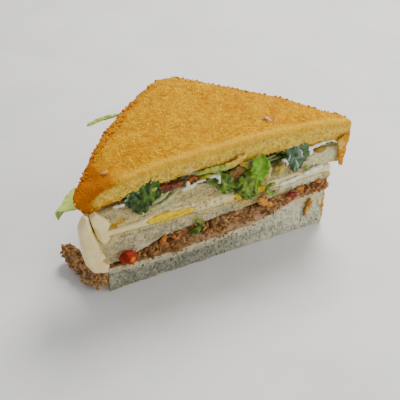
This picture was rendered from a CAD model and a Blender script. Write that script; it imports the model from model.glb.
import math
import random

import bpy
import numpy as np
from bpy.props import FloatProperty, FloatVectorProperty, IntProperty, PointerProperty
from mathutils import Matrix, Vector, noise
from mathutils.bvhtree import BVHTree


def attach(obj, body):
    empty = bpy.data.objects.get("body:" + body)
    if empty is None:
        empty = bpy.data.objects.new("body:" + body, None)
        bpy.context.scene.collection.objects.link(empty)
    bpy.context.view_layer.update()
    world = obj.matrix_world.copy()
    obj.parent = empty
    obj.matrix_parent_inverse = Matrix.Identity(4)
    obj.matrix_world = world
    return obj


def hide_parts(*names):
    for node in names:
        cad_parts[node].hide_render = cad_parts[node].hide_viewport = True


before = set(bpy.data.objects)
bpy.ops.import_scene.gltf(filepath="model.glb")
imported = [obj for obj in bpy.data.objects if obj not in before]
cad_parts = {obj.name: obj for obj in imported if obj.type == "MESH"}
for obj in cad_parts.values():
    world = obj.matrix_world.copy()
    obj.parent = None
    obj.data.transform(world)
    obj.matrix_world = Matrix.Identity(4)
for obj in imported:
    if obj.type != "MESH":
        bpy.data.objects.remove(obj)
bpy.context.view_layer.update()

bl_info = {
    "name": "Club sandwich",
    "version": (1, 0, 0),
    "blender": (4, 5, 0),
    "location": "3D View > Sidebar > Sandwich",
    "description": "Dresses the solids of a club sandwich wedge with bread, filling, salad and a studio",
    "category": "Object",
}

MM = 0.001
BODY = "root"

# Places in this file are in millimetres from the drawing's origin, which lies here in the frame
DRAWING_ORIGIN = Vector((2.926, 1.404, 0.0))
CUT_Y = -33.0            # the plane of the cut
HALF_DIAGONAL = 75.66    # half the cut of the largest slice, out to where its legs would meet it
TIP_X, TIP_Y = -68.0, -30.0
ABOVE_ALL, BELOW_ALL = 120.0, -10.0    # heights over and under every piece
IN_FRONT = -60.0         # a y in front of every piece
SWAY_SEED = 1            # of the vector noise that sways the leaves
UP, DOWN = Vector((0, 0, 1)), Vector((0, 0, -1))


def smooth(t):
    t = min(1.0, max(0.0, t))
    return t * t * (3 - 2 * t)


def mix(a, b, t):
    return a + (b - a) * t


def to_frame(x, y, z):
    """A place of the drawing, in metres in the frame."""
    return (DRAWING_ORIGIN + Vector((x, y, z))) * MM


# Meshes

def choose(obj):
    """Selects one object alone and makes it the active one."""
    for other in bpy.context.selected_objects:
        other.select_set(False)
    obj.select_set(True)
    bpy.context.view_layer.objects.active = obj


def apply_all(obj):
    choose(obj)
    for modifier in list(obj.modifiers):
        bpy.ops.object.modifier_apply(modifier=modifier.name)


def new_piece(name, mesh):
    obj = bpy.data.objects.new(name, mesh)
    bpy.context.scene.collection.objects.link(obj)
    return obj


def copy_of(name, node):
    """A piece that starts as a copy of a CAD node, with its corners joined."""
    obj = new_piece(name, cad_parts[node].data.copy())
    obj.data.materials.clear()
    choose(obj)
    bpy.ops.object.mode_set(mode="EDIT")
    bpy.ops.mesh.select_all(action="SELECT")
    bpy.ops.mesh.remove_doubles(threshold=1e-5)
    bpy.ops.mesh.normals_make_consistent(inside=False)
    bpy.ops.object.mode_set(mode="OBJECT")
    bpy.ops.mesh.customdata_custom_splitnormals_clear()
    return obj


def remesh(obj, size, relax=0):
    """Covers a piece with an even skin of small faces, and relaxes its edges."""
    skin = obj.modifiers.new("skin", "REMESH")
    skin.mode = "VOXEL"
    skin.voxel_size = size * MM
    skin.use_smooth_shade = True
    if relax:
        soft = obj.modifiers.new("soft", "SMOOTH")
        soft.factor = 0.5
        soft.iterations = relax
    apply_all(obj)


def steepness(normals):
    """One on the steep sides of a layer and zero on its level faces."""
    return 1 - steps(np.abs(normals[:, 2]), 0.5, 0.85)


def tip_distance(points):
    """How far each point lies from the left tip, seen from above."""
    return np.hypot(points[:, 0] - TIP_X, points[:, 1] - TIP_Y)


def places_of(obj):
    """Points of a piece in millimetres of the drawing, and their normals."""
    mesh = obj.data
    points = np.empty(len(mesh.vertices) * 3)
    mesh.vertices.foreach_get("co", points)
    normals = np.empty(len(mesh.vertices) * 3)
    mesh.vertex_normals.foreach_get("vector", normals)
    return points.reshape(-1, 3) / MM - np.array(DRAWING_ORIGIN), normals.reshape(-1, 3)


def put_places(obj, points):
    world = (points + np.array(DRAWING_ORIGIN)) * MM
    obj.data.vertices.foreach_set("co", world.ravel())
    obj.data.update()


def write_value(obj, name, values):
    layer = obj.data.attributes.new(name, "FLOAT", "POINT")
    layer.data.foreach_set("value", np.asarray(values, np.float32))


def steps(values, low, high):
    t = np.clip((values - low) / (high - low), 0, 1)
    return t * t * (3 - 2 * t)


def waves(points, size, seed=0.0):
    """Smooth noise from -1 to 1 at each point, with features of the given size in millimetres."""
    offset = Vector((seed * 7.3, seed * 3.1, seed * 5.7))
    scale = 1 / size
    return np.array([noise.noise(Vector(p) * scale + offset) for p in points.tolist()])


def cells(points, size, seed=0.0):
    """Distance from each point to the nearest of scattered points, in cell sizes."""
    offset = Vector((seed * 4.1, seed * 9.2, seed * 2.3))
    scale = 1 / size
    return np.array([noise.voronoi(Vector(p) * scale + offset)[0][0] for p in points.tolist()])


def push(obj, amount):
    """Moves each point out along its normal by an amount in millimetres."""
    points, normals = places_of(obj)
    put_places(obj, points + normals * amount[:, None])


def skinned(name, node, size, relax=0):
    """A copy of a CAD node with an even skin, and its points and normals."""
    obj = copy_of(name, node)
    remesh(obj, size, relax)
    return obj, *places_of(obj)


def tree_of(obj):
    """A search tree over the faces of an object that lies untransformed in the frame."""
    corners = [v.co for v in obj.data.vertices]
    return BVHTree.FromPolygons(corners, [tuple(face.vertices) for face in obj.data.polygons])


def hit_front(tree, x, z):
    """The y at which a line through the drawing's x and z meets a piece from the front, or None."""
    point = tree.ray_cast(to_frame(x, IN_FRONT, z), Vector((0, 1, 0)))[0]
    return None if point is None else point.y / MM - DRAWING_ORIGIN.y


def finish_piece(obj, material, nodes=()):
    """Gives a piece its material, joins it to the frame and says which solids it stands for."""
    obj.data.materials.clear()
    obj.data.materials.append(material)
    choose(obj)
    bpy.ops.object.shade_smooth()
    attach(obj, BODY)
    if nodes:
        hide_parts(*nodes)


def inside_by(outline, x, z):
    """How far a point lies inside an outline, in its own units; negative outside."""
    best, inside = 1e9, False
    for (ax, az), (bx, bz) in zip(outline, outline[1:] + outline[:1]):
        dx, dz = bx - ax, bz - az
        length = dx * dx + dz * dz
        t = min(1.0, max(0.0, ((x - ax) * dx + (z - az) * dz) / length)) if length else 0.0
        best = min(best, math.hypot(x - ax - t * dx, z - az - t * dz))
        if (az > z) != (bz > z) and x < ax + (z - az) * dx / dz:
            inside = not inside
    return best if inside else -best


def tumbled(rng):
    """A turn by a random angle about a random axis."""
    return Matrix.Rotation(rng.uniform(0, math.tau), 4, Vector([rng.uniform(-1, 1) for _ in range(3)]).normalized())


def scaled(size, shares):
    """A scale by a size in millimetres, times its own share along each axis."""
    return Matrix.Diagonal((*(size * share * MM for share in shares), 1))


def placed(place, turn, scale):
    """The matrix of a small shape that is scaled, turned and put at a place of the drawing."""
    return Matrix.Translation(to_frame(*place)) @ turn @ scale


def sheet(name, points, faces, vein, thickness, relax=0):
    """A thin closed piece made from an open sheet, with its veins stored on its points."""
    mesh = bpy.data.meshes.new(name)
    mesh.from_pydata(points, [], faces)
    mesh.update()
    obj = new_piece(name, mesh)
    write_value(obj, "vein", vein)
    if relax:
        soft = obj.modifiers.new("relax", "SMOOTH")
        soft.factor = 0.5
        soft.iterations = relax
    shell = obj.modifiers.new("thickness", "SOLIDIFY")
    shell.thickness = thickness * MM
    shell.offset = 0
    rounded = obj.modifiers.new("round", "SUBSURF")
    rounded.levels = rounded.render_levels = 1
    apply_all(obj)
    return obj


def joined(name, shape, matrices):
    """One mesh of many copies of a small shape, each turned and scaled by its own matrix."""
    corners, faces = shape
    block = np.c_[corners, np.ones(len(corners))]
    points = np.vstack([(block @ np.array(matrix).T)[:, :3] for matrix in matrices])
    everything = [tuple(index + k * len(corners) for index in face)
                  for k in range(len(matrices)) for face in faces]
    mesh = bpy.data.meshes.new(name)
    mesh.from_pydata(points.tolist(), [], everything)
    mesh.update()
    return new_piece(name, mesh)


def shape_of(obj):
    """Corners and faces of a modelled shape, which is then removed."""
    corners = np.array([v.co for v in obj.data.vertices])
    faces = [tuple(p.vertices) for p in obj.data.polygons]
    bpy.data.objects.remove(obj)
    return corners, faces


def pebble(unevenness, seed, segments=6, rings=4):
    """A small uneven lump of one unit radius."""
    bpy.ops.mesh.primitive_uv_sphere_add(segments=segments, ring_count=rings, radius=1)
    obj = bpy.context.object
    for vert in obj.data.vertices:
        vert.co *= 1 + unevenness * noise.noise(vert.co * 1.3 + Vector((seed, 0, seed)))
    return shape_of(obj)


def blob(name, balls, size=0.35):
    """A soft mass that runs together from stretched balls, given as x, y, z and three radii in millimetres."""
    parts = []
    for x, y, z, rx, ry, rz in balls:
        bpy.ops.mesh.primitive_uv_sphere_add(segments=20, ring_count=12, radius=1, location=to_frame(x, y, z))
        part = bpy.context.object
        part.scale = (rx * MM, ry * MM, rz * MM)
        parts.append(part)
    for part in parts:
        part.select_set(True)
    bpy.context.view_layer.objects.active = parts[0]
    bpy.ops.object.transform_apply(location=True, rotation=True, scale=True)
    if len(parts) > 1:
        bpy.ops.object.join()
    obj = bpy.context.object
    obj.name = name
    remesh(obj, size, relax=4)
    return obj


def ribbon(name, path, widths, seed, thickness=0.4, hollow=0.5, ragged=0.5):
    """A strip along a path of x, y, z places, broad in the plane of the cut, with an uneven edge."""
    step, across = 0.5, 8
    line = [Vector(place) for place in path]
    places = []
    for start, end in zip(line, line[1:]):
        count = max(2, int((end - start).length / step))
        places += [start.lerp(end, i / count) for i in range(count)]
    places.append(line[-1])
    for _ in range(6):
        inner = [(a + b + c) / 3 for a, b, c in zip(places, places[1:], places[2:])]
        places = [places[0], *inner, places[-1]]
    shift = Vector((seed * 2.7, seed * 4.9, seed * 1.3))
    points, faces, vein = [], [], []
    last = len(places) - 1
    for i, place in enumerate(places):
        ahead = places[min(last, i + 1)] - places[max(0, i - 1)]
        side = Vector((-ahead.z, 0, ahead.x)).normalized()
        share = i / last
        width = np.interp(share, np.linspace(0, 1, len(widths)), widths)
        for j in range(across + 1):
            v = 2 * j / across - 1
            edge = 1 + ragged * noise.noise((place + side * v * 3) / 1.8 + shift)
            spot = place + side * v * edge * width / 2
            rough = noise.noise(spot / 2.0 + shift) * hollow
            points.append(to_frame(spot.x, spot.y - hollow * (1 - v * v) - rough, spot.z))
            vein.append(0.8 * math.exp(-(v / 0.25) ** 2))
    for i in range(last):
        for j in range(across):
            a = i * (across + 1) + j
            faces.append((a, a + 1, a + across + 2, a + across + 1))
    return sheet(name, points, faces, vein, thickness)


# Materials

class Steps:
    """Adds nodes to a node tree one after another and joins them."""

    def __init__(self, tree):
        self.tree = tree

    def add(self, kind, inputs=None, **settings):
        node = self.tree.nodes.new("ShaderNode" + kind)
        for name, value in settings.items():
            setattr(node, name, value)
        for name, value in (inputs or {}).items():
            self.put(node.inputs[name], value)
        return node

    def put(self, socket, value):
        if isinstance(value, bpy.types.NodeSocket):
            self.tree.links.new(value, socket)
        elif socket.type == "RGBA":
            socket.default_value = (*value[:3], 1)
        else:
            socket.default_value = value

    def math(self, operation, a, b=0.0):
        return self.add("Math", {0: a, 1: b}, operation=operation).outputs[0]

    def blend(self, share, a, b, kind="MIX"):
        node = self.add("Mix", {0: share, 6: a, 7: b}, data_type="RGBA", blend_type=kind, clamp_factor=True)
        return node.outputs[2]

    def between(self, value, low, high, a=0.0, b=1.0):
        node = self.add("MapRange", {"Value": value, "From Min": low, "From Max": high, "To Min": a, "To Max": b},
                        interpolation_type="SMOOTHSTEP")
        return node.outputs[0]

    def place(self, scale=(1, 1, 1), turn=(0, 0, 0)):
        spot = self.add("TexCoord").outputs["Object"]
        return self.add("Mapping", {"Vector": spot, "Scale": scale, "Rotation": turn}).outputs[0]

    def noise(self, size, detail=3.0, rough=0.55, spot=None):
        """Cloudy noise whose features have the given size in millimetres."""
        inputs = {"Vector": spot or self.place(), "Scale": 1000 / size, "Detail": detail, "Roughness": rough}
        return self.add("TexNoise", inputs).outputs[0]

    def cells(self, size):
        """Distance to the middles of cells of the given size in millimetres."""
        return self.add("TexVoronoi", {"Vector": self.place(), "Scale": 1000 / size}).outputs["Distance"]

    def speckle(self, colour, paint, clouds, low, high, share):
        """Lays a paint over a colour where a noise passes from low to high, up to a share."""
        return self.blend(self.between(self.noise(*clouds), low, high, 0.0, share), colour, paint)

    def frayed(self, name, ragged, amount=1.0):
        """A stored value whose border is frayed by a noise."""
        return self.math("ADD", self.stored(name), self.math("MULTIPLY", ragged, amount))

    def stored(self, name):
        return self.add("Attribute", attribute_name=name).outputs["Fac"]

    def group(self, tree, inputs):
        node = self.add("Group")
        node.node_tree = tree
        for name, value in inputs.items():
            self.put(node.inputs[name], value)
        return node

    def bump(self, height, distance, strength=1.0):
        return self.add("Bump", {"Height": height, "Distance": distance * MM, "Strength": strength}).outputs[0]


def new_material(name, roughness=0.6, **constants):
    """An empty material: its steps and its shader, whose plain values are set on the shader itself."""
    material = bpy.data.materials.new(name)
    material.use_nodes = True
    tree = material.node_tree
    tree.nodes.clear()
    out = tree.nodes.new("ShaderNodeOutputMaterial")
    shader = tree.nodes.new("ShaderNodeBsdfPrincipled")
    tree.links.new(shader.outputs[0], out.inputs["Surface"])
    shader.inputs["Roughness"].default_value = roughness
    for key, value in constants.items():
        shader.inputs[key.replace("_", " ").title().replace("Ior", "IOR")].default_value = value
    return material, Steps(tree), shader


def glow(weight, *radii):
    """Settings for light that enters a material: its share and how far each colour goes, in millimetres."""
    return {"subsurface_weight": weight, "subsurface_scale": 1.0, "subsurface_radius": [r * MM for r in radii]}


def new_group(name, inputs, outputs):
    tree = bpy.data.node_groups.new(name, "ShaderNodeTree")
    for label, kind, value in inputs:
        socket = tree.interface.new_socket(label, in_out="INPUT", socket_type="NodeSocket" + kind)
        socket.default_value = value
    for label, kind in outputs:
        tree.interface.new_socket(label, in_out="OUTPUT", socket_type="NodeSocket" + kind)
    return tree, Steps(tree), (tree.nodes.new("NodeGroupInput"), tree.nodes.new("NodeGroupOutput"))


def make_groups():
    """Effects that several materials share. Each puts out masks, colours and heights that change over the surface."""
    groups = {}

    # Holes of bread crumb at two sizes
    tree, s, (start, end) = new_group("Crumb holes", [
        ("Size", "Float", 1.6), ("Stretch", "Vector", (1, 1, 1))], [("Holes", "Float"), ("Height", "Float")])
    spot = s.add("TexCoord").outputs["Object"]
    spot = s.add("VectorMath", {0: spot, 1: start.outputs["Stretch"]}, operation="MULTIPLY").outputs[0]
    bent = s.add("TexNoise", {"Vector": spot, "Scale": 450.0, "Detail": 2.0}).outputs[1]
    spot = s.add("VectorMath", {0: bent, 1: (0.0016, 0.0016, 0.0016), 2: spot}, operation="MULTIPLY_ADD").outputs[0]
    scale = s.math("DIVIDE", 1000.0, start.outputs["Size"])
    big = s.add("TexVoronoi", {"Vector": spot, "Scale": scale}).outputs["Distance"]
    fine_scale = s.math("MULTIPLY", scale, 2.3)
    fine = s.add("TexVoronoi", {"Vector": spot, "Scale": fine_scale}).outputs["Distance"]
    presence = s.add("TexNoise", {"Vector": spot, "Scale": 260.0, "Detail": 3.0}).outputs[0]
    open_big = s.math("MULTIPLY", s.between(big, 0.42, 0.12), s.between(presence, 0.5, 0.64))
    open_fine = s.math("MULTIPLY", s.between(fine, 0.44, 0.18), s.between(presence, 0.62, 0.42))
    holes = s.math("MAXIMUM", open_big, s.math("MULTIPLY", open_fine, 0.6))
    s.put(end.inputs["Holes"], holes)
    grain = s.add("TexNoise", {"Vector": spot, "Scale": 2200.0, "Detail": 3.0}).outputs[0]
    s.put(end.inputs["Height"], s.math("SUBTRACT", s.math("MULTIPLY", grain, 0.35), holes))
    groups["holes"] = tree

    # A soft-edged spot at a place on the cut face
    tree, s, (start, end) = new_group("Smear", [
        ("Place", "Vector", (0, 0, 0)), ("Size", "Vector", (0.01, 0.01, 0.01)), ("Turn", "Float", 0.0),
        ("Ragged", "Float", 0.5)], [("Mask", "Float")])
    spot = s.add("TexCoord").outputs["Object"]
    away = s.add("VectorMath", {0: spot, 1: start.outputs["Place"]}, operation="SUBTRACT").outputs[0]
    turned = s.add("VectorRotate", {"Vector": away, "Angle": start.outputs["Turn"]}, rotation_type="Y_AXIS").outputs[0]
    unit = s.add("VectorMath", {0: turned, 1: start.outputs["Size"]}, operation="DIVIDE").outputs[0]
    length = s.add("VectorMath", {0: unit}, operation="LENGTH").outputs["Value"]
    wobble = s.add("TexNoise", {"Vector": spot, "Scale": 420.0, "Detail": 4.0, "Roughness": 0.6}).outputs[0]
    wobble = s.math("MULTIPLY", s.math("SUBTRACT", wobble, 0.5), start.outputs["Ragged"])
    s.put(end.inputs["Mask"], s.between(s.math("ADD", length, s.math("MULTIPLY", wobble, 3.0)), 1.1, 0.75))
    groups["smear"] = tree

    # Two colours in cloudy patches
    tree, s, (start, end) = new_group("Patches", [
        ("First", "Color", (1, 1, 1, 1)), ("Second", "Color", (1, 1, 1, 1)), ("Size", "Float", 3.0),
        ("Low", "Float", 0.4), ("High", "Float", 0.6)], [("Colour", "Color")])
    spot = s.add("TexCoord").outputs["Object"]
    scale = s.math("DIVIDE", 1000.0, start.outputs["Size"])
    clouds = s.add("TexNoise", {"Vector": spot, "Scale": scale, "Detail": 4.0, "Roughness": 0.6}).outputs[0]
    share = s.between(clouds, start.outputs["Low"], start.outputs["High"])
    s.put(end.inputs["Colour"], s.blend(share, start.outputs["First"], start.outputs["Second"]))
    groups["patches"] = tree

    # Fine wet unevenness
    tree, s, (start, end) = new_group("Moist grain", [("Size", "Float", 0.8)], [("Height", "Float"), ("Wet", "Float")])
    spot = s.add("TexCoord").outputs["Object"]
    scale = s.math("DIVIDE", 1000.0, start.outputs["Size"])
    fine = s.add("TexNoise", {"Vector": spot, "Scale": scale, "Detail": 4.0}).outputs[0]
    broad_scale = s.math("MULTIPLY", scale, 0.22)
    broad = s.add("TexNoise", {"Vector": spot, "Scale": broad_scale, "Detail": 2.0}).outputs[0]
    s.put(end.inputs["Height"], s.math("ADD", fine, broad))
    s.put(end.inputs["Wet"], s.between(broad, 0.35, 0.65))
    groups["moist"] = tree
    return groups


GROUPS = {}
CRUST = (0.50, 0.26, 0.035)    # the toasted outer sides of the lower slices
WET_CHANGE = 0.125             # how far wet and dry patches depart from a roughness


def patches(s, first, second, size, low=0.4, high=0.6):
    node = s.group(GROUPS["patches"], {"First": first, "Second": second, "Size": size, "Low": low, "High": high})
    return node.outputs["Colour"]


def smeared(s, colour, smears):
    """Paints smears over a colour. Each has its paint, x, z, width and height in millimetres of the cut face, turn in
    degrees, raggedness and share."""
    depth = 12 * MM
    for paint, x, z, width, height, turn, ragged, share in smears:
        node = s.group(GROUPS["smear"], {"Place": to_frame(x, CUT_Y, z), "Size": (width * MM, depth, height * MM),
                                         "Turn": math.radians(turn), "Ragged": ragged})
        colour = s.blend(s.math("MULTIPLY", node.outputs["Mask"], share), colour, paint)
    return colour


def tinted(colour, red, green, blue):
    """A colour times a share for each channel, up to one."""
    return tuple(min(1.0, c * share) for c, share in zip(colour, (red, green, blue)))


def crumb_material(name, pale, shade, hole, hole_size, line, smears=(), stretch=(1, 1, 1), depth=0.5,
                   darker=None, cap=None):
    """Bread crumb with holes, a denser line at its faces and golden crust on its outer sides."""
    material, s, shader = new_material(name, specular_ior_level=0.15, **glow(0.12, 2.0, 1.3, 0.6))
    holes = s.group(GROUPS["holes"], {"Size": hole_size, "Stretch": stretch})
    bright, dull = tinted(pale, 1.25, 1.3, 1.5), tinted(shade, 0.62, 0.66, 0.7)
    spot = s.place(scale=stretch)
    colour = patches(s, pale, shade, 4.2)
    colour = s.speckle(colour, bright, (2.2, 3.0, 0.6), 0.52, 0.64, 0.7)
    colour = s.speckle(colour, bright, (0.9, 3.0, 0.6, spot), 0.52, 0.66, 0.6)
    colour = s.speckle(colour, dull, (1.3, 3.0, 0.6, spot), 0.44, 0.32, 0.7)
    colour = s.blend(s.math("MULTIPLY", holes.outputs["Holes"], 0.85), colour, hole)
    if darker:
        # darkens towards the left end, between two x, down to a share
        start, end, share = darker
        x = s.add("SeparateXYZ", {0: s.place()}).outputs[0]
        deep = s.between(x, start * MM, end * MM, share, 1.0)
        colour = s.blend(1.0, colour, s.add("CombineXYZ", {0: deep, 1: deep, 2: deep}).outputs[0], "MULTIPLY")
        colour = s.speckle(colour, tinted(pale, 0.78, 0.76, 0.68), (1.5, 4.0, 0.65, spot), 0.53, 0.68, 0.62)
    ragged = s.math("MULTIPLY", s.math("SUBTRACT", s.noise(1.6, 4.0), 0.5), 1.1)
    if cap:
        colour = s.blend(s.between(s.frayed("cap", ragged, 1.6), 0.35, 0.9, 0.0, 0.62), colour, cap)
    edge = s.between(s.frayed("line", ragged), 0.42, 0.62)
    colour = s.blend(s.math("MULTIPLY", edge, 0.85), colour, line)
    colour = smeared(s, colour, smears)
    fried = s.between(s.frayed("toast", ragged, 0.5), 0.4, 0.62)
    crust = patches(s, CRUST, tinted(CRUST, 0.66, 0.66, 0.66), 6.0, 0.34, 0.70)
    crust = s.speckle(crust, tinted(CRUST, 1.35, 1.35, 1.35), (1.2, 4.0, 0.65), 0.50, 0.66, 0.6)
    crust = s.speckle(crust, tinted(CRUST, 0.5, 0.5, 0.5), (0.9, 3.0, 0.6), 0.42, 0.30, 0.6)
    s.put(shader.inputs["Base Color"], s.blend(fried, colour, crust))
    s.put(shader.inputs["Roughness"], s.between(fried, 0.0, 1.0, 0.9, 0.55))
    s.put(shader.inputs["Normal"], s.bump(holes.outputs["Height"], depth, 0.9))
    return material


def fried_material(look):
    """The top slice: a golden fried face with fine grain, browned towards its rim, over pale crumb at the cut."""
    material, s, shader = new_material("Toasted top", specular_ior_level=0.03, **glow(0.05, 2.0, 1.2, 0.5))
    # crumb at the cut
    holes = s.group(GROUPS["holes"], {"Size": 1.1, "Stretch": (1, 1, 1)})
    crumb = patches(s, look.top_crumb, (0.60, 0.38, 0.05), 4.0, 0.36, 0.66)
    crumb = s.speckle(crumb, (0.95, 0.72, 0.22), (1.2, 3.0, 0.6), 0.54, 0.68, 0.6)
    crumb = s.blend(s.math("MULTIPLY", holes.outputs["Holes"], 0.75), crumb, (0.34, 0.16, 0.01))
    # fried face
    gold = patches(s, look.top_gold, (0.53, 0.215, 0.0), 6.5, 0.40, 0.62)
    for paint, noise_of, low, high in (((0.76, 0.44, 0.0), (3.2, 3.0, 0.6), 0.52, 0.64),
                                       ((0.40, 0.13, 0.0), (1.9, 3.0, 0.65), 0.46, 0.34),
                                       ((0.34, 0.10, 0.0), (0.7, 2.0, 0.6), 0.42, 0.28)):
        gold = s.speckle(gold, paint, noise_of, low, high, 0.7)
    sparks = s.math("MULTIPLY", s.between(s.cells(1.05), 0.34, 0.12), s.between(s.noise(1.9), 0.44, 0.56))
    gold = s.blend(s.math("MULTIPLY", sparks, 0.85), gold, (1.0, 0.62, 0.02))
    ragged = s.math("MULTIPLY", s.math("SUBTRACT", s.noise(2.2, 4.0, 0.6), 0.5), 0.9)
    gold = s.blend(s.between(s.frayed("rim", ragged), 0.2, 1.1), gold, look.rim_brown)
    band = s.between(s.frayed("band", ragged, 0.8), 0.1, 1.0)
    gold = s.blend(s.math("MULTIPLY", band, 0.8), gold, (0.80, 0.46, 0.03))
    toast = s.between(s.frayed("toast", ragged, 0.7), 0.1, 0.95)
    colour = smeared(s, s.blend(toast, crumb, gold), (
        ((0.56, 0.22, 0.0), -56, 53.5, 6, 3.6, 20, 0.8, 0.8),
        ((0.50, 0.19, 0.02), -13.5, 61.6, 2.6, 1.0, 0, 0.6, 0.5),
        ((0.80, 0.58, 0.30), -16.0, 61.3, 2.2, 1.3, 8, 0.5, 0.7),
        ((0.66, 0.30, 0.07), 6.6, 60.4, 3.4, 1.4, -24, 0.6, 0.6)))
    s.put(shader.inputs["Base Color"], colour)
    s.put(shader.inputs["Roughness"], s.between(s.math("MULTIPLY", toast, s.noise(1.1)), 0.2, 0.6, 0.85, 0.42))
    grains = s.math("SUBTRACT", s.noise(0.8, 4.0, 0.65), s.math("MULTIPLY", s.cells(0.8), 0.5))
    s.put(shader.inputs["Normal"], s.bump(s.blend(toast, holes.outputs["Height"], grains), 0.8, 1.0))
    return material


def moist_material(name, first, second, size, roughness, shine=0.5, grain=0.8, depth=0.25, smears=(), **constants):
    """A moist filling in two mottled colours, glossier in its wet patches."""
    material, s, shader = new_material(name, specular_ior_level=shine, **constants)
    s.put(shader.inputs["Base Color"], smeared(s, patches(s, first, second, size), smears))
    moist = s.group(GROUPS["moist"], {"Size": grain})
    dry, glossy = roughness + WET_CHANGE, max(0.05, roughness - WET_CHANGE)
    s.put(shader.inputs["Roughness"], s.between(moist.outputs["Wet"], 0.0, 1.0, dry, glossy))
    s.put(shader.inputs["Normal"], s.bump(moist.outputs["Height"], depth, 0.8))
    return material


def leaf_material(name, dark, light, vein, smears=()):
    """A moist leaf: mottled green with paler veins and creamy smears where it touched the dressing."""
    material, s, shader = new_material(name, 0.34, specular_ior_level=0.3, **glow(0.1, 0.6, 1.2, 0.3))
    colour = patches(s, dark, light, 2.6, 0.42, 0.60)
    colour = s.blend(s.math("MULTIPLY", s.stored("vein"), 0.55), colour, vein)
    s.put(shader.inputs["Base Color"], smeared(s, colour, smears))
    s.put(shader.inputs["Normal"], s.bump(s.math("ADD", s.noise(1.3, 4.0), s.stored("vein")), 0.35, 0.7))
    return material


# Pieces

def edges_at_cut(node):
    """Heights of a layer's underside and top just behind the cut, as two functions of x."""
    tree = tree_of(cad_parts[node])
    behind = 2.5
    xs, lows, highs = [], [], []
    for x in np.arange(-66, 66.1, 2.0):
        under = tree.ray_cast(to_frame(x, CUT_Y + behind, BELOW_ALL), UP)[0]
        over = tree.ray_cast(to_frame(x, CUT_Y + behind, ABOVE_ALL), DOWN)[0]
        if under is not None and over is not None:
            xs.append(x)
            lows.append(under.z / MM)
            highs.append(over.z / MM)
    return (lambda x: np.interp(x, xs, lows)), (lambda x: np.interp(x, xs, highs))


def rim_distance(points, inset):
    """How far each point lies inside the nearer of the two legs."""
    x, y = points[:, 0], points[:, 1]
    half = HALF_DIAGONAL - inset * math.sqrt(2)
    left = (CUT_Y + half - (y - x)) / math.sqrt(2)
    right = (CUT_Y + half - (x + y)) / math.sqrt(2)
    return np.minimum(left, right)


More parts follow.
